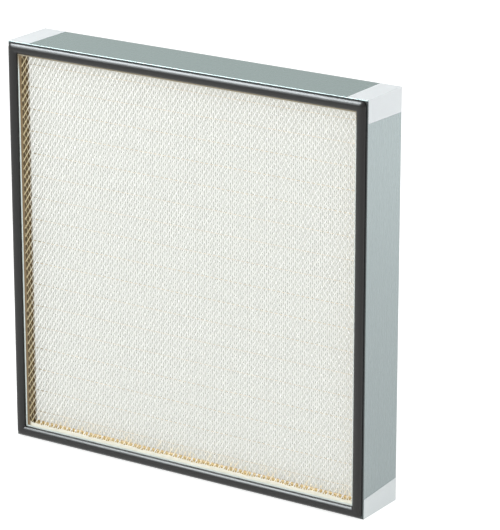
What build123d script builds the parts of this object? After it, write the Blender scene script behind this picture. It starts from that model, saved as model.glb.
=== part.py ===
from build123d import *
import os

# Cleanroom filter panel with an aluminium frame, standing upright on its bottom edge.
# X is the width, Y the depth with the gasket face towards -Y, and Z points up.
# The origin is under the middle of the whole panel, gasket and tape included, on the ground.

# Overall sizes of the frame
frame_width = 610.0
frame_height = 610.0
frame_depth = 90.0

# Section of the frame profile, measured inwards from its outer face
wall = 1.6
flange_width = 19.0
flange_thickness = 1.6
chamber_width = 10.8
chamber_depth = 8.4
web = 1.4
edge_radius = 1.2

# Corner keys that slide into the chambers
key_clearance = 0.15
key_leg = 46.0
key_tip_chamfer = 2.0
key_groove = 2.0
key_groove_step = 9.0
key_groove_count = 3

# Endless gasket on the front flange
gasket_inset = 1.8
gasket_width = 15.0
gasket_thickness = 7.0
gasket_outer_radius = 9.0
gasket_inner_radius = 1.5
gasket_shoulder = 5.6

# Tape folded over the outside of each corner
tape_thickness = 0.25
tape_front_margin = 4.5
tape_rear_margin = 0.8

# How far each tape, cut by hand, reaches from its corner:
# along X at its front and rear edge, then along Z at its front and rear edge
tape_reaches = {
    "top_left": (36.5, 37.5, 35.0, 36.0),
    "top_right": (34.0, 34.0, 33.0, 35.5),
    "bottom_left": (35.0, 36.0, 36.0, 35.0),
    "bottom_right": (34.0, 33.0, 29.5, 34.5),
}

# Pleated pack: depth of the folds, their pitch and the thickness of the sheet
pack_depth = 50.0
pleat_pitch = 3.2
sheet = 0.45
pack_bed = 11.0

# Resin around the edges of the pack
resin_fillet = 2.4

# Separator beads across the folds
bead_pitch = 33.6
bead_height = 1.3
bead_depth = 0.8
bead_end_gap = 0.6

# Expanded metal guards, with their meshes drawn coarse
guard_thickness = 1.0
guard_edge_clearance = 0.2
mesh_columns = 10
mesh_rows = 6
mesh_strand = 5.0
mesh_border = 8.0

half_width = frame_width / 2
half_height = frame_height / 2
half_depth = frame_depth / 2
centre = Vector(0, gasket_thickness / 2, half_height + tape_thickness)
chamber_back = flange_thickness + chamber_depth + web
chamber_face = wall + chamber_width + web
guard_back = flange_thickness + guard_thickness

# Each side by its name: direction from the centre to the side, half its length, half across
sides = {
    "top": (Vector(0, 0, 1), half_width, half_height),
    "bottom": (Vector(0, 0, -1), half_width, half_height),
    "left": (Vector(-1, 0, 0), half_height, half_width),
    "right": (Vector(1, 0, 0), half_height, half_width),
}

# Each corner by its name: which way it lies along X and Z
corners = {
    "top_left": (-1, 1),
    "top_right": (1, 1),
    "bottom_left": (-1, -1),
    "bottom_right": (1, -1),
}

# Front and rear by their place along Y
faces = {"front": -1, "rear": 1}

os.makedirs("parts", exist_ok=True)


def upright_plane(depth):
    """Plane across the panel at a depth from its middle, its x along +X and its normal to the front."""
    return Plane(origin=centre + Vector(0, depth, 0), x_dir=(1, 0, 0), z_dir=(0, -1, 0))


def section_plane(outward, across):
    """Plane across the middle of a side: its x runs inwards from the outer face, its y along +Y."""
    origin = centre + outward * across
    inward = outward * -1
    return Plane(origin=origin, x_dir=inward, z_dir=inward.cross(Vector(0, 1, 0)))


def mitre_plane(outward, across, end):
    """Plane at 45 degrees through one end of a side, its normal pointing away from the side."""
    along = outward.cross(Vector(0, 1, 0)) * end
    half_length = half_width if abs(outward.Z) > 0.5 else half_height
    corner = centre + outward * across + along * half_length
    return Plane(origin=corner, z_dir=along - outward)


def cut_mitres(outward, across):
    """Trim both ends of the side that is being built."""
    for end in (-1, 1):
        split(bisect_by=mitre_plane(outward, across, end), keep=Keep.BOTTOM)


# Frame profiles: one section with two flanges and two closed chambers, mitred at both ends
for side, (outward, half_length, across) in sides.items():
    with BuildPart() as frame:
        with BuildSketch(section_plane(outward, across)):
            with Locations((flange_width / 2, 0)):
                Rectangle(flange_width, frame_depth)
            with Locations((wall + flange_width / 2, 0)):
                Rectangle(flange_width, frame_depth - 2 * flange_thickness, mode=Mode.SUBTRACT)
            for place in faces.values():
                middle = half_depth - (flange_thickness + chamber_back) / 2
                with Locations(((wall + chamber_face) / 2, place * middle)):
                    Rectangle(chamber_face - wall, chamber_back - flange_thickness)
                chamber_middle = half_depth - flange_thickness - chamber_depth / 2
                with Locations((wall + chamber_width / 2, place * chamber_middle)):
                    Rectangle(chamber_width, chamber_depth, mode=Mode.SUBTRACT)
        extrude(amount=half_length, both=True)
        outer_edges = frame.edges().filter_by(Axis(centre, outward.cross(Vector(0, 1, 0))))
        fillet(outer_edges.sort_by(Axis(centre, outward))[-2:], radius=edge_radius)
        cut_mitres(outward, across)
    frame.part.label = "frame_" + side
    export_step(frame.part, "parts/frame_" + side + ".step")


# Corner keys: an angle with two legs, grooved so that the crimped wall grips them
for face, depth_sign in faces.items():
    for corner, (x_sign, z_sign) in corners.items():
        key_width = chamber_width - 2 * key_clearance
        key_depth = chamber_depth - 2 * key_clearance
        key_inset = wall + key_clearance
        key_middle = depth_sign * (half_depth - flange_thickness - chamber_depth / 2)
        apex = centre + Vector(x_sign * (half_width - key_inset), key_middle, z_sign * (half_height - key_inset))
        with BuildPart() as key:
            with BuildSketch(Plane(origin=apex, x_dir=(-x_sign, 0, 0), z_dir=(0, -x_sign * z_sign, 0))):
                with BuildLine():
                    Polyline(
                        (0, 0),
                        (key_leg, 0),
                        (key_leg, key_width),
                        (key_width, key_width),
                        (key_width, key_leg),
                        (0, key_leg),
                        close=True,
                    )
                make_face()
                for step in range(key_groove_count):
                    reach = key_leg - (step + 1) * key_groove_step
                    with Locations((reach, 0), (0, reach)):
                        Rectangle(key_groove, key_groove, rotation=45, mode=Mode.SUBTRACT)
            extrude(amount=key_depth / 2, both=True)
            for axis, sign in ((Axis.X, x_sign), (Axis.Z, z_sign)):
                tip = key.faces().sort_by(axis)[0 if sign > 0 else -1]
                chamfer(tip.edges().filter_by(Axis.Y), length=key_tip_chamfer)
        key.part.label = "key_" + face + "_" + corner
        export_step(key.part, "parts/key_" + face + "_" + corner + ".step")


# Corner tapes: a thin strip bent round the corner, cut a little askew by hand
tape_front = -half_depth + tape_front_margin
tape_rear = half_depth - tape_rear_margin
for corner, (x_sign, z_sign) in corners.items():
    x_front, x_rear, z_front, z_rear = tape_reaches[corner]
    turn = -x_sign * z_sign
    corner_edge = centre + Vector(x_sign * half_width, 0, z_sign * half_height)
    with BuildPart() as tape:
        with BuildSketch(Plane(origin=corner_edge, x_dir=(-x_sign, 0, 0), z_dir=(0, 0, z_sign))):
            with BuildLine():
                Polyline(
                    (-tape_thickness, turn * tape_front),
                    (x_front, turn * tape_front),
                    (x_rear, turn * tape_rear),
                    (-tape_thickness, turn * tape_rear),
                    close=True,
                )
            make_face()
        extrude(amount=tape_thickness)
        with BuildSketch(Plane(origin=corner_edge, x_dir=(0, 1, 0), z_dir=(x_sign, 0, 0))):
            with BuildLine():
                Polyline(
                    (tape_front, 0),
                    (tape_front, turn * z_front),
                    (tape_rear, turn * z_rear),
                    (tape_rear, 0),
                    close=True,
                )
            make_face()
        extrude(amount=tape_thickness)
    tape.part.label = "tape_" + corner
    export_step(tape.part, "parts/tape_" + corner + ".step")


# Gasket: one ring foamed onto the front flange, its two front edges well rounded
gasket_outer = (frame_width - 2 * gasket_inset, frame_height - 2 * gasket_inset)
gasket_inner = (gasket_outer[0] - 2 * gasket_width, gasket_outer[1] - 2 * gasket_width)
with BuildPart() as gasket:
    with BuildSketch(upright_plane(-half_depth)):
        RectangleRounded(*gasket_outer, gasket_outer_radius)
        RectangleRounded(*gasket_inner, gasket_inner_radius, mode=Mode.SUBTRACT)
    extrude(amount=gasket_thickness)
    fillet(gasket.faces().sort_by(Axis.Y)[0].edges(), radius=gasket_shoulder)
gasket.part.label = "gasket"
export_step(gasket.part, "parts/gasket.step")


# Potting: resin in the channel between the chambers, with a bed for the edge of the pack
for side, (outward, half_length, across) in sides.items():
    with BuildPart() as potting:
        with BuildSketch(section_plane(outward, across)):
            with Locations(((wall + flange_width) / 2, 0)):
                Rectangle(flange_width - wall, frame_depth - 2 * chamber_back)
            with Locations(((chamber_face + flange_width) / 2, 0)):
                Rectangle(flange_width - chamber_face, frame_depth - 2 * guard_back)
            for place in faces.values():
                with BuildLine():
                    top = place * pack_depth / 2
                    rise = Line((flange_width, top), (flange_width, top + place * resin_fillet))
                    run = Line((flange_width, top), (flange_width + resin_fillet, top))
                    RadiusArc(run @ 1, rise @ 1, place * resin_fillet)
                make_face()
            with Locations((pack_bed + frame_width / 2, 0)):
                Rectangle(frame_width, pack_depth, mode=Mode.SUBTRACT)
        extrude(amount=half_length, both=True)
        cut_mitres(outward, across)
    potting.part.label = "potting_" + side
    export_step(potting.part, "parts/potting_" + side + ".step")


# Pack: one sheet folded to and fro, its folds upright, its edges in the resin beds
pack_width = frame_width - 2 * pack_bed
pack_height = frame_height - 2 * pack_bed
pleats = round(pack_width / pleat_pitch)
pitch = (pack_width - 2 * sheet) / pleats
front_side = []
rear_side = []
for fold in range(pleats + 1):
    crest = fold * pitch - pitch * pleats / 2
    front_side += [(crest - sheet, -pack_depth / 2), (crest + sheet, -pack_depth / 2)]
    rear_side += [(crest, -pack_depth / 2 + sheet)]
    if fold < pleats:
        valley = crest + pitch / 2
        front_side += [(valley, pack_depth / 2 - sheet)]
        rear_side += [(valley - sheet, pack_depth / 2), (valley + sheet, pack_depth / 2)]
front_side[0] = (-pack_width / 2, -pack_depth / 2)
front_side[-1] = (pack_width / 2, -pack_depth / 2)
rear_side[0] = (-pack_width / 2, -pack_depth / 2 + sheet)
rear_side[-1] = (pack_width / 2, -pack_depth / 2 + sheet)
with BuildPart() as media_pack:
    with BuildSketch(Plane(origin=centre - Vector(0, 0, pack_height / 2))):
        with BuildLine():
            Polyline(*front_side, *reversed(rear_side), close=True)
        make_face()
    extrude(amount=pack_height)
media_pack.part.label = "media_pack"
export_step(media_pack.part, "parts/media_pack.step")


# Separators: rows of hot-melt bead laid across the crests of the folds, on both faces
window_width = frame_width - 2 * flange_width
window_height = frame_height - 2 * flange_width
bead_length = window_width - 2 * resin_fillet - 2 * bead_end_gap
bead_rows = int(window_height / bead_pitch)
for face, depth_sign in faces.items():
    with BuildPart() as separators:
        bead_middle = depth_sign * (pack_depth + bead_depth) / 2
        with BuildSketch(upright_plane(bead_middle + bead_depth / 2)):
            with GridLocations(bead_pitch, bead_pitch, 1, bead_rows):
                Rectangle(bead_length, bead_height)
        extrude(amount=bead_depth)
    separators.part.label = "separators_" + face
    export_step(separators.part, "parts/separators_" + face + ".step")


# Guards: slit and stretched sheet, its meshes staggered like bricks, long way up
guard_width = frame_width - 2 * (chamber_face + guard_edge_clearance)
guard_height = frame_height - 2 * (chamber_face + guard_edge_clearance)
mesh_width = (window_width - 2 * mesh_border) / mesh_columns
mesh_height = (window_height - 2 * mesh_border) / mesh_rows
opening_width = mesh_width - 2 * mesh_strand
opening_height = mesh_height - 2 * mesh_strand * mesh_height / mesh_width
diamond = Wire.make_polygon(
    [
        (opening_width / 2, 0),
        (0, opening_height / 2),
        (-opening_width / 2, 0),
        (0, -opening_height / 2),
    ],
    close=True,
)
mesh_places = list(GridLocations(mesh_width, mesh_height, mesh_columns, mesh_rows))
mesh_places += list(GridLocations(mesh_width, mesh_height, mesh_columns - 1, mesh_rows - 1))
guard_sheet = Face(Wire.make_rect(guard_width, guard_height), [diamond.moved(place) for place in mesh_places])
for face, depth_sign in faces.items():
    with BuildPart() as guard:
        guard_middle = depth_sign * (half_depth - flange_thickness - guard_thickness / 2)
        with BuildSketch(upright_plane(guard_middle + guard_thickness / 2)):
            add(guard_sheet)
        extrude(amount=guard_thickness)
    guard.part.label = "guard_" + face
    export_step(guard.part, "parts/guard_" + face + ".step")
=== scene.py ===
import math

import bmesh
import bpy
import numpy as np
from mathutils import Matrix, Vector


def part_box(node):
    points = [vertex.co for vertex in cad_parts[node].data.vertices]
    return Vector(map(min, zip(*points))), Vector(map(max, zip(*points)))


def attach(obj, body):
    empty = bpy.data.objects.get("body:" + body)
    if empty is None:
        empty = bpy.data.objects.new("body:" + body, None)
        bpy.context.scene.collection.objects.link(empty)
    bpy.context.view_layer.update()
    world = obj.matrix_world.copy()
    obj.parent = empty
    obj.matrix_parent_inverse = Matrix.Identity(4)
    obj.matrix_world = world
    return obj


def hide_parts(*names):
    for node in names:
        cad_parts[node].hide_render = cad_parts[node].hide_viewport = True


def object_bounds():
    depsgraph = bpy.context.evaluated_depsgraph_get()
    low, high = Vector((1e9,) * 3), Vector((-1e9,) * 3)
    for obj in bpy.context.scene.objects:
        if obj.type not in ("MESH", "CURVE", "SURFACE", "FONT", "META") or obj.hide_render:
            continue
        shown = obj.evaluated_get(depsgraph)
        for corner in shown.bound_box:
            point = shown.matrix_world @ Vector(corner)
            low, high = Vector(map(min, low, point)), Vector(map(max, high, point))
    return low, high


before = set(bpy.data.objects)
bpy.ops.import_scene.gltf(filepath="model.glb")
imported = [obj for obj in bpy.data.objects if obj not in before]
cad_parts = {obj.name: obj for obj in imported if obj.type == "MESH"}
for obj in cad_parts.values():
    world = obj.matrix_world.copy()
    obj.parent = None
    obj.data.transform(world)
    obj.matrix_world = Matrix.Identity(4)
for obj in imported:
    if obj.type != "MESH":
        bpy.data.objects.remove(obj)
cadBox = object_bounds()
print("frame loaded")


# Helpers for numpy surfaces

weldDistance = 1e-6


def meshFromGrid(name, points, closeRows=False, closeColumns=False):
    # points is rows by columns by 3; neighbouring points make quads, and a closed direction wraps round
    rows, columns = points.shape[:2]
    rowNumbers = np.arange(rows if closeRows else rows - 1)
    columnNumbers = np.arange(columns if closeColumns else columns - 1)
    row, column = np.meshgrid(rowNumbers, columnNumbers, indexing="ij")
    rowNext = (row + 1) % rows
    columnNext = (column + 1) % columns
    corners = ((row, column), (rowNext, column), (rowNext, columnNext), (row, columnNext))
    quads = np.stack([up * columns + right for up, right in corners], -1)
    return meshFromArrays(name, points.reshape(-1, 3), quads.reshape(-1, 4))


def meshFromThreads(name, points):
    # points is threads by rings by sides by 3; each thread is a tube of its own, closed at both ends by a
    # ring drawn together in the middle of the end
    ends = np.broadcast_to(points[:, [0, -1]].mean(2, keepdims=True), points[:, [0, -1]].shape)
    points = np.concatenate([ends[:, :1], points, ends[:, 1:]], 1)
    threads, rings, sides = points.shape[:3]
    start = (np.arange(threads)[:, None, None] * rings + np.arange(rings - 1)[None, :, None]) * sides
    side = np.arange(sides)[None, None, :]
    sideNext = (side + 1) % sides
    quads = np.stack([start + side, start + sideNext, start + sides + sideNext, start + sides + side], -1)
    return meshFromArrays(name, points.reshape(-1, 3), quads.reshape(-1, 4))


def meshFromArrays(name, points, quads):
    # a closed surface has a positive volume when its faces point outwards; points that meet are welded
    corners = points[quads]
    volume = np.einsum("ij,ij->i", corners[:, 0], np.cross(corners[:, 1], corners[:, 2])).sum()
    volume += np.einsum("ij,ij->i", corners[:, 0], np.cross(corners[:, 2], corners[:, 3])).sum()
    if volume < 0:
        quads = quads[:, ::-1]
    mesh = bpy.data.meshes.new(name)
    mesh.from_pydata(points.tolist(), [], quads.tolist())
    joined = bmesh.new()
    joined.from_mesh(mesh)
    bmesh.ops.remove_doubles(joined, verts=joined.verts, dist=weldDistance)
    joined.to_mesh(mesh)
    joined.free()
    mesh.update()
    piece = bpy.data.objects.new(name, mesh)
    bpy.context.scene.collection.objects.link(piece)
    return piece


def smoothPiece(piece):
    piece.data.polygons.foreach_set("use_smooth", np.full(len(piece.data.polygons), True))
    piece.data.update()


def sumOfWaves(waves, *places):
    # each wave is (strength, phase, a rate for each place) and adds strength * sin(rates * places + phase)
    total = 0
    for strength, phase, *rates in waves:
        turn = sum(rate * place for rate, place in zip(rates, places))
        total = total + strength * np.sin(turn + phase)
    return total


def strengthOf(waves):
    return sum(wave[0] for wave in waves)


def roundedPath(halfX, halfZ, radius, runSteps, cornerSteps):
    # points round a rectangle with rounded corners, the same count on each run and each corner
    corners = np.array([[1, 1], [-1, 1], [-1, -1], [1, -1]])
    pieces = []
    for turn, (signX, signZ) in enumerate(corners):
        middle = np.array([signX * (halfX - radius), signZ * (halfZ - radius)])
        angle = np.linspace(0, math.pi / 2, cornerSteps) + turn * math.pi / 2
        arc = middle + radius * np.stack([np.cos(angle), np.sin(angle)], 1)
        nextX, nextZ = corners[(turn + 1) % 4]
        angleNext = (turn + 1) * math.pi / 2
        start = np.array([nextX * (halfX - radius), nextZ * (halfZ - radius)])
        start = start + radius * np.array([math.cos(angleNext), math.sin(angleNext)])
        share = np.linspace(0, 1, runSteps + 2)[1:-1, None]
        pieces += [arc, arc[-1] * (1 - share) + start * share]
    return np.concatenate(pieces)


# Helpers for materials

def rgb(red, green, blue):
    # an 8-bit screen colour as a linear one, by the sRGB curve
    parts = [part / 255 for part in (red, green, blue)]
    linear = [part / 12.92 if part <= 0.04045 else ((part + 0.055) / 1.055) ** 2.4 for part in parts]
    return (*linear, 1.0)


def newMaterial(name, **values):
    # a Principled material; each value goes straight onto the shader's own socket
    material = bpy.data.materials.new(name)
    material.use_nodes = True
    shader = material.node_tree.nodes["Principled BSDF"]
    for socket, value in values.items():
        shader.inputs[socket.replace("_", " ")].default_value = value
    return material, material.node_tree, shader


def addNode(tree, kind, **settings):
    # each setting is a value of the node's socket of that name, or else of the node itself
    node = tree.nodes.new(kind)
    for key, value in settings.items():
        if key in node.inputs:
            node.inputs[key].default_value = value
        else:
            setattr(node, key, value)
    return node


def link(tree, source, target):
    tree.links.new(source, target)


def mixColours(tree, factor, first, second):
    # sockets 6 and 7 are the two colours of a Mix node, and output 2 is the mixed one
    mix = addNode(tree, "ShaderNodeMix", data_type="RGBA")
    link(tree, factor, mix.inputs[0])
    for socket, value in ((mix.inputs[6], first), (mix.inputs[7], second)):
        if isinstance(value, tuple):
            socket.default_value = value
        else:
            link(tree, value, socket)
    return mix.outputs[2]


def combine(tree, operation, first, second):
    node = addNode(tree, "ShaderNodeMath", operation=operation)
    link(tree, first, node.inputs[0])
    link(tree, second, node.inputs[1])
    return node.outputs[0]


def mapRange(tree, source, before=(0.0, 1.0), after=(0.0, 1.0), interpolation="LINEAR"):
    # the two numbers of before become the two numbers of after, and what lies between follows
    node = addNode(tree, "ShaderNodeMapRange", interpolation_type=interpolation)
    for name, value in zip(("From Min", "From Max", "To Min", "To Max"), (*before, *after)):
        node.inputs[name].default_value = value
    link(tree, source, node.inputs["Value"])
    return node.outputs["Result"]


# Fine grain: noise stretched by a scale for each axis, as a value between 0 and 1 and as a bumped normal

grainValues = {
    "detail": 3.0,
    "roughness": 0.6,
    "bumpDistance": 0.0005,
}


def buildGrainGroup():
    values = grainValues
    group = bpy.data.node_groups.new("fineGrain", "ShaderNodeTree")
    for name, side, kind in (
        ("Stretch", "INPUT", "NodeSocketVector"),
        ("Scale", "INPUT", "NodeSocketFloat"),
        ("Strength", "INPUT", "NodeSocketFloat"),
        ("Value", "OUTPUT", "NodeSocketFloat"),
        ("Normal", "OUTPUT", "NodeSocketVector"),
    ):
        group.interface.new_socket(name, in_out=side, socket_type=kind)
    into = addNode(group, "NodeGroupInput")
    out = addNode(group, "NodeGroupOutput")
    place = addNode(group, "ShaderNodeTexCoord")
    stretched = addNode(group, "ShaderNodeVectorMath", operation="MULTIPLY")
    link(group, place.outputs["Object"], stretched.inputs[0])
    link(group, into.outputs["Stretch"], stretched.inputs[1])
    noise = addNode(group, "ShaderNodeTexNoise", Detail=values["detail"], Roughness=values["roughness"])
    link(group, stretched.outputs[0], noise.inputs["Vector"])
    link(group, into.outputs["Scale"], noise.inputs["Scale"])
    bump = addNode(group, "ShaderNodeBump", Distance=values["bumpDistance"])
    link(group, noise.outputs["Fac"], bump.inputs["Height"])
    link(group, into.outputs["Strength"], bump.inputs["Strength"])
    link(group, noise.outputs["Fac"], out.inputs["Value"])
    link(group, bump.outputs["Normal"], out.inputs["Normal"])
    return group


grainGroup = buildGrainGroup()


def addGrain(tree, scale, strength, stretch=(1.0, 1.0, 1.0)):
    grain = addNode(tree, "ShaderNodeGroup")
    grain.node_tree = grainGroup
    grain.inputs["Stretch"].default_value = stretch
    grain.inputs["Scale"].default_value = scale
    grain.inputs["Strength"].default_value = strength
    return grain


# Place on the panel: distances in millimetres from its left side, its ground, its front and its nearest edge

millimetres = 1000.0


def buildPlaceGroup():
    group = bpy.data.node_groups.new("panelPlace", "ShaderNodeTree")
    for name in ("FromLeft", "FromGround", "FromFront", "FromEdge"):
        group.interface.new_socket(name, in_out="OUTPUT", socket_type="NodeSocketFloat")
    out = addNode(group, "NodeGroupOutput")
    place = addNode(group, "ShaderNodeTexCoord")
    parts = addNode(group, "ShaderNodeSeparateXYZ")
    link(group, place.outputs["Object"], parts.inputs[0])
    low, high = cadBox

    def distance(axis, origin, direction):
        # from a plane, counted along or against the axis
        away = addNode(group, "ShaderNodeMath", operation="SUBTRACT")
        link(group, parts.outputs[axis], away.inputs[0])
        away.inputs[1].default_value = origin
        scaled = addNode(group, "ShaderNodeMath", operation="MULTIPLY")
        link(group, away.outputs[0], scaled.inputs[0])
        scaled.inputs[1].default_value = millimetres * direction
        return scaled.outputs[0]

    left, right = distance(0, low[0], 1), distance(0, high[0], -1)
    ground, top = distance(2, low[2], 1), distance(2, high[2], -1)
    nearest = left
    for other in (right, ground, top):
        nearest = combine(group, "MINIMUM", nearest, other)
    link(group, left, out.inputs["FromLeft"])
    link(group, ground, out.inputs["FromGround"])
    link(group, distance(1, low[1], 1), out.inputs["FromFront"])
    link(group, nearest, out.inputs["FromEdge"])
    return group


placeGroup = buildPlaceGroup()


def placeMask(tree, output, limits):
    # 0 at the first limit and 1 at the second one, in millimetres, with a smooth step between
    place = addNode(tree, "ShaderNodeGroup")
    place.node_tree = placeGroup
    return mapRange(tree, place.outputs[output], limits, interpolation="SMOOTHSTEP")


def paintNode(name, material):
    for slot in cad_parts[name].material_slots:
        slot.material = material


# Aluminium frame

frameValues = {
    # the across runs are lighter and greener and the upright runs darker and greyer: lit and shaded copies of
    # one metal, painted light and shade
    "across": {"light": rgb(158, 177, 174), "dark": rgb(153, 172, 169), "stretch": (0.02, 1.0, 1.0)},
    "upright": {"light": rgb(145, 155, 156), "dark": rgb(140, 151, 151), "stretch": (1.0, 1.0, 0.02)},
    # edge: painted shade, a darker colour on the rounded front edge that tones down its highlight
    "edge": rgb(72, 76, 76),
    "edgeShadeMask": (8.6, 7.0),
    "metallic": 0.85,
    "roughness": (0.25, 0.29),
    "drawLines": 900.0,
    "drawDepth": 0.03,
    # the strip inside the gasket is painted pale and matt: a painted reflection standing in for the bright
    # sheen of the bare flange
    "stripPaintedReflection": rgb(208, 217, 213),
    "stripMask": (16.4, 16.6),
    "stripDepthMask": (9.0, 8.0),
    # painted shade along the top, where the bead above shades the strip
    "stripTopPaintedShade": rgb(150, 140, 118),
    "stripTopShadeMask": (560.0, 590.0),
}


def anodisedMaterial(name):
    # satin anodised aluminium with faint draw lines along the profile; the strip of flange inside the gasket
    # is painted pale and matt, a painted reflection of the bright surroundings, with painted shade along the
    # top under the bead, and the rounded front edge is painted darker, painted shade that tones down its
    # highlight
    values = frameValues
    run = values[name]
    material, tree, shader = newMaterial("anodised_" + name)
    grain = addGrain(tree, values["drawLines"], values["drawDepth"], run["stretch"])
    metal = mixColours(tree, grain.outputs["Value"], run["dark"], run["light"])
    inside = placeMask(tree, "FromEdge", values["stripMask"])
    ahead = placeMask(tree, "FromFront", values["stripDepthMask"])
    strip = combine(tree, "MULTIPLY", inside, ahead)
    # painted shade on the strip along the top, under the bead
    underBeadShade = placeMask(tree, "FromGround", values["stripTopShadeMask"])
    stripPaintedLightAndShade = mixColours(tree, underBeadShade, values["stripPaintedReflection"], values["stripTopPaintedShade"])
    # painted shade on the rounded front edge, toning down its highlight
    edge = placeMask(tree, "FromFront", values["edgeShadeMask"])
    edgePaintedShade = mixColours(tree, edge, metal, values["edge"])
    link(tree, mixColours(tree, strip, edgePaintedShade, stripPaintedLightAndShade), shader.inputs["Base Color"])
    metallic = mapRange(tree, strip, after=(values["metallic"], 0.0))
    link(tree, metallic, shader.inputs["Metallic"])
    roughness = mapRange(tree, grain.outputs["Value"], after=values["roughness"])
    link(tree, roughness, shader.inputs["Roughness"])
    link(tree, grain.outputs["Normal"], shader.inputs["Normal"])
    return material


# lit and shaded copies of one anodised metal: painted light on the top and bottom runs, painted shade on the
# left and right runs
acrossMetalPaintedLight = anodisedMaterial("across")
uprightMetalPaintedShade = anodisedMaterial("upright")
for side, material in (("top", acrossMetalPaintedLight), ("bottom", acrossMetalPaintedLight), ("left", uprightMetalPaintedShade), ("right", uprightMetalPaintedShade)):
    paintNode("frame_" + side, material)


# Die-cast corner keys

keyValues = {
    "light": rgb(176, 178, 180),
    "dark": rgb(150, 152, 154),
    "metallic": 0.9,
    "roughness": 0.5,
    "grainScale": 400.0,
    "grainDepth": 0.3,
}


def keyMaterial():
    values = keyValues
    material, tree, shader = newMaterial("dieCast", Roughness=values["roughness"])
    shader.inputs["Metallic"].default_value = values["metallic"]
    grain = addGrain(tree, values["grainScale"], values["grainDepth"])
    colour = mixColours(tree, grain.outputs["Value"], values["dark"], values["light"])
    link(tree, colour, shader.inputs["Base Color"])
    link(tree, grain.outputs["Normal"], shader.inputs["Normal"])
    return material


dieCast = keyMaterial()
cornerNames = ["top_left", "top_right", "bottom_left", "bottom_right"]
for corner in cornerNames:
    for face in ("front", "rear"):
        paintNode("key_" + face + "_" + corner, dieCast)
print("frame finished")


# Corner tapes

tapeValues = {
    "colour": rgb(218, 223, 225),
    "cloudy": rgb(213, 218, 220),
    # painted shade: a greyer colour towards the ground
    "footShade": rgb(201, 207, 208),
    "footShadeMask": (300.0, 60.0),
    "roughness": 0.42,
    "specular": 0.4,
    "wrinkleScale": 60.0,
    "wrinkleDepth": 0.25,
    "wrinkleStretch": (1.0, 0.35, 1.0),
    "thickness": 0.00025,
    "unevenness": 0.1,
    "waves": ((1.0, 0.0, 260, 0, 5), (1.0, 0.0, 0, 300, -7), (1.0, 0.0, 0, 0, 11)),
    "frontMargin": 0.0016,
    "legSteps": 10,
    "bendSteps": 5,
    "depthSteps": 24,
    "reaches": {
        "top_left": (0.0365, 0.0375, 0.0350, 0.0360),
        "top_right": (0.0340, 0.0340, 0.0330, 0.0355),
        "bottom_left": (0.0350, 0.0360, 0.0360, 0.0350),
        "bottom_right": (0.0340, 0.0330, 0.0295, 0.0345),
    },
}


def tapeMaterial():
    # pale film with a soft sheen, pulled a little uneven over the metal, and darker near the ground as
    # painted shade
    values = tapeValues
    material, tree, shader = newMaterial("paleTape", Roughness=values["roughness"])
    shader.inputs["Specular IOR Level"].default_value = values["specular"]
    grain = addGrain(tree, values["wrinkleScale"], values["wrinkleDepth"], values["wrinkleStretch"])
    tapeUnshaded = mixColours(tree, grain.outputs["Value"], values["cloudy"], values["colour"])
    # painted shade, greyer towards the ground
    foot = placeMask(tree, "FromGround", values["footShadeMask"])
    link(tree, mixColours(tree, foot, tapeUnshaded, values["footShade"]), shader.inputs["Base Color"])
    link(tree, grain.outputs["Normal"], shader.inputs["Normal"])
    return material


paleTape = tapeMaterial()


def buildTape(corner):
    # a strip bent round the corner: along X, round an arc, then along Z; each leg's reach runs evenly from
    # its front to its rear value, and thickness = full * (1 - unevenness + unevenness * mean of the waves)
    values = tapeValues
    signX = 1 if "right" in corner else -1
    signZ = 1 if "top" in corner else -1
    low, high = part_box("frame_" + corner.split("_")[0])
    cornerX = high[0] if signX > 0 else low[0]
    cornerZ = high[2] if signZ > 0 else low[2]
    share = np.linspace(0, 1, values["depthSteps"])[:, None]
    front = low[1] + values["frontMargin"]
    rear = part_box("tape_" + corner)[1][1]
    y = front + share * (rear - front)
    xFront, xRear, zFront, zRear = values["reaches"][corner]
    along = np.linspace(1, 0, values["legSteps"])[None, :]
    angle = np.linspace(math.pi / 2, 0, values["bendSteps"])[None, :]
    leg = np.zeros_like(share * along)
    bend = np.zeros_like(share * angle)
    inwardX = np.hstack([(xFront + (xRear - xFront) * share) * along, bend, leg])
    inwardZ = np.hstack([leg, bend, (zFront + (zRear - zFront) * share) * along[:, ::-1]])
    outX = np.hstack([leg, bend + np.cos(angle), leg + 1])
    outZ = np.hstack([leg + 1, bend + np.sin(angle), leg])
    uneven = values["unevenness"]
    wave = sumOfWaves(values["waves"], inwardX, inwardZ, share)
    lift = values["thickness"] * (1 - uneven + uneven * wave / strengthOf(values["waves"]))
    surfaces = []
    for height in (lift, np.zeros_like(lift)):
        x = cornerX + signX * (outX * height - inwardX)
        z = cornerZ + signZ * (outZ * height - inwardZ)
        surfaces.append(np.stack([x, np.broadcast_to(y, x.shape), z], -1))
    outside, inside = surfaces
    points = np.concatenate([outside, inside[:, ::-1]], 1)
    closed = np.concatenate([inside, inside[:, ::-1]], 1)
    points = np.concatenate([closed[:1], points, closed[-1:]])
    piece = meshFromGrid("cornerTape_" + corner, points, closeColumns=True)
    piece.data.materials.append(paleTape)
    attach(piece, "root")
    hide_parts("tape_" + corner)


for corner in cornerNames:
    buildTape(corner)
print("tapes finished")


# Gasket: a domed bead foamed round the front flange

gasketValues = {
    "inset": 0.0006,
    "width": 0.0150,
    "outerRadius": 0.0060,
    "innerRadius": 0.0015,
    "sidePower": 2.3,
    "runSteps": 90,
    "cornerSteps": 14,
    "profileSteps": 26,
    "waver": 0.00036,
    "waves": ((1.0, 0.0, 47, 0), (1.0, 1.3, 0, 61), (1.0, 0.0, 23, 31)),
    "joinPlace": 0.245,
    "joinLength": 0.010,
    "joinRise": 0.0004,
    "colour": rgb(24, 24, 23),
    "lighter": 1.12,
    "specular": 0.40,
    "roughness": 0.30,
    "poreScale": 220.0,
    "poreDepth": 0.12,
}


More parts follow.
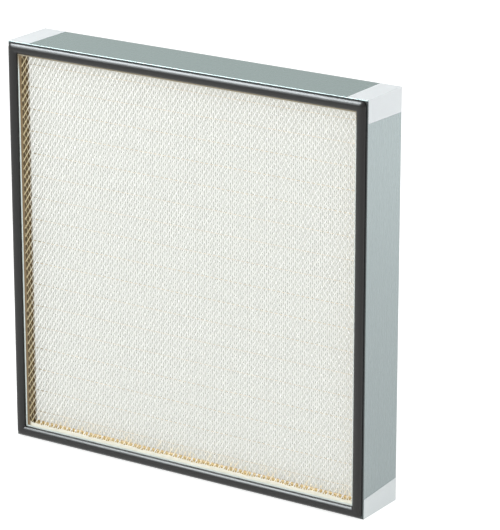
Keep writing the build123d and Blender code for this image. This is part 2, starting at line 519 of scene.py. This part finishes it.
def gasketSurface(values):
    # place = inner path * (1 - s) + outer path * s, height = thickness * superellipse of s across the bead;
    # s goes from 0 at the inner edge to 1 at the outer edge, slow waves stir the height a little, and it
    # rises by the join's own height where the bead's two ends meet on the top run
    low, high = (np.array(corner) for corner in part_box("gasket"))
    halfX = (high[0] - low[0]) / 2
    halfZ = (high[2] - low[2]) / 2
    midX = (high[0] + low[0]) / 2
    midZ = (high[2] + low[2]) / 2
    thickness = high[1] - low[1]
    width = values["width"]
    steps = (values["runSteps"], values["cornerSteps"])
    # the bead stops short of the frame's edge along the top and the right
    inset = values["inset"] / 2
    outer = roundedPath(halfX - inset, halfZ - inset, values["outerRadius"], *steps) - inset
    inner = roundedPath(halfX - width, halfZ - width, values["innerRadius"], *steps)
    angle = np.linspace(0, math.pi, values["profileSteps"])
    power = 2 / values["sidePower"]
    across = 0.5 - 0.5 * np.sign(np.cos(angle)) * np.abs(np.cos(angle)) ** power
    rise = np.abs(np.sin(angle)) ** power
    flat = inner[:, None] * (1 - across[None, :, None]) + outer[:, None] * across[None, :, None]
    onTop = outer[:, 1] > halfZ - width
    join = np.exp(-((outer[:, 0] - values["joinPlace"]) / values["joinLength"]) ** 2) * onTop
    wave = sumOfWaves(values["waves"], outer[:, 0], outer[:, 1]) / strengthOf(values["waves"])
    lowered = values["waver"] * (1 + wave) / 2 + values["joinRise"] * (1 - join)
    height = (thickness - lowered)[:, None] * rise[None, :]
    return np.stack([flat[..., 0] + midX, high[1] - height, flat[..., 1] + midZ], -1)


def gasketMaterial():
    # dark closed-cell foam with a soft skin
    values = gasketValues
    material, tree, shader = newMaterial("gasketFoam", Roughness=values["roughness"])
    shader.inputs["Specular IOR Level"].default_value = values["specular"]
    grain = addGrain(tree, values["poreScale"], values["poreDepth"])
    lighter = tuple(part * values["lighter"] for part in values["colour"][:3]) + (1.0,)
    colour = mixColours(tree, grain.outputs["Value"], values["colour"], lighter)
    link(tree, colour, shader.inputs["Base Color"])
    link(tree, grain.outputs["Normal"], shader.inputs["Normal"])
    return material


def buildGasket():
    piece = meshFromGrid("gasketBead", gasketSurface(gasketValues), closeRows=True, closeColumns=True)
    smoothPiece(piece)
    piece.data.materials.append(gasketMaterial())
    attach(piece, "root")
    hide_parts("gasket")


buildGasket()
print("gasket finished")


# Guards: expanded metal, upright zigzag strands that meet at the knuckles

guardValues = {
    "meshWidth": 0.00805,
    "meshHeight": 0.0129,
    "strandWidth": 0.0015,
    "strandDepth": 0.0008,
    "sunkShare": 0.25,
    "bond": 0.3,
    "tilt": 0.5,
    "twist": 0.06,
    "colour": rgb(232, 233, 229),
    "shade": rgb(227, 228, 224),
    # a darker, browner colour towards the left edge
    "leftBrowner": rgb(180, 166, 130),
    "leftBrownerMask": (40.0, 28.0),
    "cream": rgb(240, 226, 192),
    "creamMask": (52.0, 24.0),
    "creamPatches": 90.0,
    "patchEdges": (0.48, 0.56),
    "roughness": 0.5,
    "grainScale": 300.0,
    "grainDepth": 0.15,
}


def guardStrands(values, low, high, outward):
    # strand k zigzags upwards: x = k * mesh width / 2 + (-1)^k * swing * (-1)^j at its knuckle j, and between
    # knuckles it carries a triangle whose broad face leans outwards at its upper side, as in stretched sheet
    stepX = values["meshWidth"] / 2
    stepZ = values["meshHeight"] / 2
    strands = int((high[0] - low[0]) / stepX)
    spans = int((high[2] - low[2]) / stepZ)
    parity = (-1.0) ** np.arange(strands)
    weave = (-1.0) ** np.arange(spans + 1)
    swing = (stepX - values["strandWidth"] * values["bond"]) / 2
    middle = (np.arange(strands) - (strands - 1) / 2) * stepX
    knuckleX = middle[:, None] + parity[:, None] * weave[None, :] * swing
    knuckleZ = (np.arange(spans + 1) - spans / 2) * stepZ
    share = np.array([values["twist"], 1 - values["twist"]])
    x = knuckleX[:, :-1, None] * (1 - share) + knuckleX[:, 1:, None] * share
    z = np.broadcast_to(knuckleZ[:-1, None] * (1 - share) + knuckleZ[1:, None] * share, x.shape)
    leaning = np.broadcast_to(np.sign(knuckleX[:, 1:] - knuckleX[:, :-1])[..., None], x.shape)
    half = values["strandWidth"] / 2
    depth = values["strandDepth"]
    lean = leaning * values["tilt"] * half
    offsetX = np.array([-half, half, 0])
    offsetY = np.stack([-lean, lean, np.full(x.shape, depth)], -1) - depth * values["sunkShare"]
    shape = (strands, spans * 2, 3)
    x = (x[..., None] + offsetX).reshape(shape) + (low[0] + high[0]) / 2
    z = np.broadcast_to(z[..., None], z.shape + (3,)).reshape(shape) + (low[2] + high[2]) / 2
    y = (low[1] + high[1]) / 2 - outward * offsetY.reshape(shape)
    return np.stack([x, y, z], -1)


def guardMaterial():
    # white stoved paint, darker and browner towards the left edge and creamy in patches along the foot
    values = guardValues
    material, tree, shader = newMaterial("whitePaint", Roughness=values["roughness"])
    grain = addGrain(tree, values["grainScale"], values["grainDepth"])
    paint = mixColours(tree, grain.outputs["Value"], values["shade"], values["colour"])
    patches = addGrain(tree, values["creamPatches"], 0.0)
    patch = mapRange(tree, patches.outputs["Value"], values["patchEdges"])
    foot = combine(tree, "MULTIPLY", placeMask(tree, "FromGround", values["creamMask"]), patch)
    creamy = mixColours(tree, foot, paint, values["cream"])
    left = placeMask(tree, "FromLeft", values["leftBrownerMask"])
    link(tree, mixColours(tree, left, creamy, values["leftBrowner"]), shader.inputs["Base Color"])
    link(tree, grain.outputs["Normal"], shader.inputs["Normal"])
    return material


whitePaint = guardMaterial()


def buildGuard(face):
    low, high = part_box("guard_" + face)
    points = guardStrands(guardValues, low, high, -1 if face == "front" else 1)
    piece = meshFromThreads("expandedMesh_" + face, points)
    piece.data.materials.append(whitePaint)
    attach(piece, "root")
    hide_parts("guard_" + face)


for face in ("front", "rear"):
    buildGuard(face)
print("guards finished")


# Pleated pack

packValues = {
    "paper": rgb(209, 210, 207),
    "shade": rgb(204, 205, 201),
    "lit": rgb(226, 227, 223),
    "glow": 0.31,
    "roughness": 0.9,
    "specular": 0.1,
    "fibreScale": 260.0,
    "fibreDepth": 0.2,
}


def paperMaterial():
    # glass fibre paper: matt, white, faintly cloudy; the glow stands for light that passes through the folds
    values = packValues
    material, tree, shader = newMaterial("glassPaper", Roughness=values["roughness"])
    shader.inputs["Specular IOR Level"].default_value = values["specular"]
    shader.inputs["Emission Color"].default_value = values["lit"]
    shader.inputs["Emission Strength"].default_value = values["glow"]
    grain = addGrain(tree, values["fibreScale"], values["fibreDepth"])
    colour = mixColours(tree, grain.outputs["Value"], values["shade"], values["paper"])
    link(tree, colour, shader.inputs["Base Color"])
    link(tree, grain.outputs["Normal"], shader.inputs["Normal"])
    return material


paintNode("media_pack", paperMaterial())
print("pack finished")


# Separator beads

beadValues = {
    "colour": rgb(221, 208, 186),
    "clear": rgb(230, 222, 208),
    # a browner colour towards the left edge
    "leftBrowner": rgb(186, 168, 132),
    "leftBrownerMask": (48.0, 34.0),
    "roughness": 0.35,
    "grainScale": 500.0,
    "grainDepth": 0.3,
    "rowPitch": 0.0336,
    "height": 0.0013,
    "foldPitch": 0.0032,
    "stepsPerFold": 4,
    "sides": 6,
    "dip": 0.55,
}


def beadMaterial():
    # hot melt glue, cloudy, and browner towards the left edge
    values = beadValues
    material, tree, shader = newMaterial("hotMelt", Roughness=values["roughness"])
    grain = addGrain(tree, values["grainScale"], values["grainDepth"])
    clear = mixColours(tree, grain.outputs["Value"], values["colour"], values["clear"])
    left = placeMask(tree, "FromLeft", values["leftBrownerMask"])
    link(tree, mixColours(tree, left, clear, values["leftBrowner"]), shader.inputs["Base Color"])
    link(tree, grain.outputs["Normal"], shader.inputs["Normal"])
    return material


hotMelt = beadMaterial()


def buildBeads(face):
    # each row is a thread, half round across, whose size = full * (1 - dip * (0.5 - 0.5 * cos of the fold)),
    # so it stands up on every crest, sinks between the crests and tapers to a point at both ends
    values = beadValues
    low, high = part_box("separators_" + face)
    packLow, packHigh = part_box("media_pack")
    folds = round((packHigh[0] - packLow[0]) / values["foldPitch"])
    pitch = (packHigh[0] - packLow[0]) / folds
    crest = packLow[0] if face == "front" else packLow[0] + pitch / 2
    steps = values["stepsPerFold"]
    first = math.ceil((low[0] - crest) / pitch * steps)
    last = math.floor((high[0] - crest) / pitch * steps)
    place = np.arange(first, last + 1)
    size = 1 - values["dip"] * (0.5 - 0.5 * np.cos(2 * math.pi * place / steps))
    size[[0, -1]] = 0
    angle = np.linspace(0, 2 * math.pi, values["sides"], endpoint=False)
    rows = round((high[2] - low[2] - values["height"]) / values["rowPitch"]) + 1
    heights = np.linspace(low[2] + values["height"] / 2, high[2] - values["height"] / 2, rows)
    outward = -1 if face == "front" else 1
    base = high[1] if face == "front" else low[1]
    shape = (rows, len(place), len(angle))
    x = np.broadcast_to((crest + place * pitch / steps)[None, :, None], shape)
    rise = np.maximum(np.sin(angle), 0)[None, None, :] * size[None, :, None]
    y = np.broadcast_to(base + outward * (high[1] - low[1]) * rise, shape)
    spread = values["height"] / 2 * np.cos(angle)[None, None, :] * np.sqrt(size)[None, :, None]
    z = heights[:, None, None] + np.broadcast_to(spread, shape)
    piece = meshFromThreads("beads_" + face, np.stack([x, y, z], -1))
    piece.data.materials.append(hotMelt)
    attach(piece, "root")
    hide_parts("separators_" + face)


for face in ("front", "rear"):
    buildBeads(face)
print("separators finished")


# Resin potting

resinValues = {
    "deep": rgb(200, 168, 104),
    "pale": rgb(220, 196, 138),
    "film": rgb(216, 214, 198),
    # browner towards the left edge: partly thicker resin, partly painted shade
    "brown": rgb(112, 92, 58),
    "brownMask": (27.0, 22.0),
    "roughness": 0.3,
    "grainScale": 40.0,
    "grainDepth": 0.2,
    "lipRise": 0.0012,
    "lipWidth": 0.0048,
    "lipLow": (0.6, 1.0),
    "lipHigh": (0.15, 0.15),
    "lipSunk": 0.0001,
    "lipProfile": (0, 0.15, 0.35, 0.6, 0.85, 1.0),
    "lipSway": 0.0013,
    "lipWaves": ((1.0, 0.0, 71, 53), (0.7, 2.0, 197, -131), (0.5, 0.0, 409, 373)),
    "lipSteps": 260,
    "cornerSteps": 8,
    "outerRadius": 0.0002,
    "innerRadius": 0.004,
}


def resinMaterial(name, first, second):
    # cast resin, browner towards the left edge, partly thicker resin there and partly painted shade
    values = resinValues
    material, tree, shader = newMaterial(name, Roughness=values["roughness"])
    grain = addGrain(tree, values["grainScale"], values["grainDepth"])
    clear = mixColours(tree, grain.outputs["Value"], first, second)
    left = placeMask(tree, "FromLeft", values["brownMask"])
    link(tree, mixColours(tree, left, clear, values["brown"]), shader.inputs["Base Color"])
    link(tree, grain.outputs["Normal"], shader.inputs["Normal"])
    return material


resin = resinMaterial("amberResin", resinValues["deep"], resinValues["pale"])
thinResin = resinMaterial("thinResin", resinValues["film"], resinValues["film"])
for side in ("top", "bottom", "left", "right"):
    paintNode("potting_" + side, resin)


def buildResinLip():
    # resin that has run out over the edge of the front guard: a ring inside the flange whose top falls as
    # rise * (1 - s)^2 from the flange to the mesh, and whose width sways by the waves along the ring; it is
    # broad along the foot, less so at the left, and narrow at the right and the top
    values = resinValues
    steps = (values["lipSteps"], values["cornerSteps"])
    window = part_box("frame_right")[0][0]
    guardLow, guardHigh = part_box("guard_front")
    middleY = (guardLow[1] + guardHigh[1]) / 2
    middleZ = (guardLow[2] + guardHigh[2]) / 2
    half = window + values["lipSunk"]
    inset = half - values["lipWidth"]
    outer = roundedPath(half, half, values["outerRadius"], *steps)
    inner = roundedPath(inset, inset, values["innerRadius"], *steps)
    sway = sumOfWaves(values["lipWaves"], outer[:, 0], outer[:, 1]) / strengthOf(values["lipWaves"])
    width = 1 + values["lipSway"] / values["lipWidth"] * sway
    share = np.array(values["lipProfile"])
    rise = values["lipRise"] * (1 - share) ** 2
    across = np.concatenate([share, share[::-1]])
    height = np.concatenate([guardLow[1] - rise, np.full(len(share), middleY)])
    shift = (inner - outer) * width[:, None] * np.where(outer > 0, values["lipHigh"], values["lipLow"])
    flat = outer[:, None] + shift[:, None] * across[None, :, None]
    y = np.broadcast_to(height[None, :], flat.shape[:2])
    points = np.stack([flat[..., 0], y, flat[..., 1] + middleZ], -1)
    piece = meshFromGrid("resinLip", points, closeRows=True, closeColumns=True)
    smoothPiece(piece)
    piece.data.materials.append(thinResin)
    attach(piece, "root")


buildResinLip()
print("potting finished")


# Floor, light and camera

stageValues = {
    "floorSize": 12.0,
    "floorColour": rgb(180, 180, 180),
    "floorRoughness": 0.9,
    "floorLit": (1.0, 1.0, 1.0, 1.0),
    "floorGlow": 0.73,
    "skyColour": (1.0, 1.0, 1.0, 1.0),
    "skyTowards": (-0.35, -0.2, 0.91),
    "skyFacing": (-0.6, 1.0),
    "skyStrength": (0.30, 0.95),
}


def buildFloor():
    # a pale floor that glows, so that it stays white where less light falls on it
    values = stageValues
    half = values["floorSize"] / 2
    corners = np.array([[-half, -half, 0], [half, -half, 0], [half, half, 0], [-half, half, 0]])
    floor = meshFromArrays("floor", corners, np.array([[0, 1, 2, 3]]))
    material, tree, shader = newMaterial("paleFloor", Roughness=values["floorRoughness"])
    shader.inputs["Base Color"].default_value = values["floorColour"]
    shader.inputs["Emission Color"].default_value = values["floorLit"]
    shader.inputs["Emission Strength"].default_value = values["floorGlow"]
    floor.data.materials.append(material)


def buildSky():
    # white all round, and stronger towards one direction above the panel's front left
    values = stageValues
    world = bpy.data.worlds.new("studio")
    bpy.context.scene.world = world
    world.use_nodes = True
    tree = world.node_tree
    background = tree.nodes["Background"]
    background.inputs["Color"].default_value = values["skyColour"]
    place = addNode(tree, "ShaderNodeTexCoord")
    towards = addNode(tree, "ShaderNodeVectorMath", operation="DOT_PRODUCT")
    towards.inputs[1].default_value = values["skyTowards"]
    link(tree, place.outputs["Generated"], towards.inputs[0])
    strength = mapRange(tree, towards.outputs["Value"], values["skyFacing"], values["skyStrength"])
    link(tree, strength, background.inputs["Strength"])


# Places and targets are in metres, and powers in watts
lightValues = {
    "shoulder": {
        "place": (-3.15, -1.24, 5.25),
        "target": (0, 0, 0.3),
        "size": (1.8, 6.1),
        "power": 900.0,
        "colour": (0.91, 0.97, 1.0),
    },
    "brow": {
        "place": (-1.88, -2.64, 2.17),
        "target": (0, 0, 0.6),
        "size": (1.6, 2.1),
        "power": 70.0,
        "colour": (0.91, 0.97, 1.0),
    },
    "key": {
        "place": (-0.3, -1.2, 1.6),
        "target": (0, 0, 0.5),
        "size": (0.9, 0.9),
        "power": 16.5,
        "colour": (1.0, 1.0, 1.0),
    },
    "pool": {
        "place": (1.7, 1.9, 1.1),
        "target": (1.5, 1.7, 0),
        "size": (1.2, 1.2),
        "power": 29.0,
        "colour": (1.0, 1.0, 1.0),
    },
}


def buildLight(name, values):
    lamp = bpy.data.lights.new(name, "AREA")
    lamp.shape = "RECTANGLE"
    lamp.size, lamp.size_y = values["size"]
    lamp.energy = values["power"]
    lamp.color = values["colour"]
    lightObject = bpy.data.objects.new(name, lamp)
    place = Vector(values["place"])
    back = (place - Vector(values["target"])).normalized()
    depthwise = Vector((0, 1, 0))
    along = (depthwise - back * depthwise.dot(back)).normalized()
    turn = Matrix((along.cross(back), along, back)).transposed().to_4x4()
    lightObject.matrix_world = Matrix.Translation(place) @ turn
    bpy.context.scene.collection.objects.link(lightObject)
    return lightObject


cameraValues = {
    "azimuth": 33.36,
    "elevation": 18.06,
    "distance": 4.534,
    "moveRight": 0.0709,
    "moveUp": 0.0051,
    "focalPixels": 3149.9,
    "framePixels": 530,
    "sensorWidth": 36.0,
    "farthest": 50,
}


def buildCamera():
    values = cameraValues
    azimuth = math.radians(values["azimuth"])
    elevation = math.radians(values["elevation"])
    level = math.cos(elevation)
    back = Vector((math.sin(azimuth) * level, -math.cos(azimuth) * level, math.sin(elevation)))
    right = Vector((math.cos(azimuth), math.sin(azimuth), 0))
    up = back.cross(right)
    low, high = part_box("frame_bottom")[0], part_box("frame_top")[1]
    middle = (Vector(low) + Vector(high)) / 2
    place = middle + back * values["distance"] + right * values["moveRight"] + up * values["moveUp"]
    turn = Matrix((right, up, back)).transposed().to_4x4()
    lens = bpy.data.cameras.new("camera")
    lens.sensor_width = values["sensorWidth"]
    lens.lens = values["focalPixels"] / values["framePixels"] * lens.sensor_width
    lens.clip_end = values["farthest"]
    camera = bpy.data.objects.new("camera", lens)
    camera.matrix_world = Matrix.Translation(place) @ turn
    bpy.context.scene.collection.objects.link(camera)
    bpy.context.scene.camera = camera


buildFloor()
buildSky()
lights = {name: buildLight(name, values) for name, values in lightValues.items()}
# two softboxes only draw the sheen on the gasket and the metal, the key only lights the matt surfaces, and
# the pool brightens the floor that the right side of the frame mirrors
lights["shoulder"].visible_diffuse = False
lights["brow"].visible_diffuse = False
lights["key"].visible_glossy = False
buildCamera()
bpy.context.scene.view_settings.view_transform = "Standard"
print("stage finished")
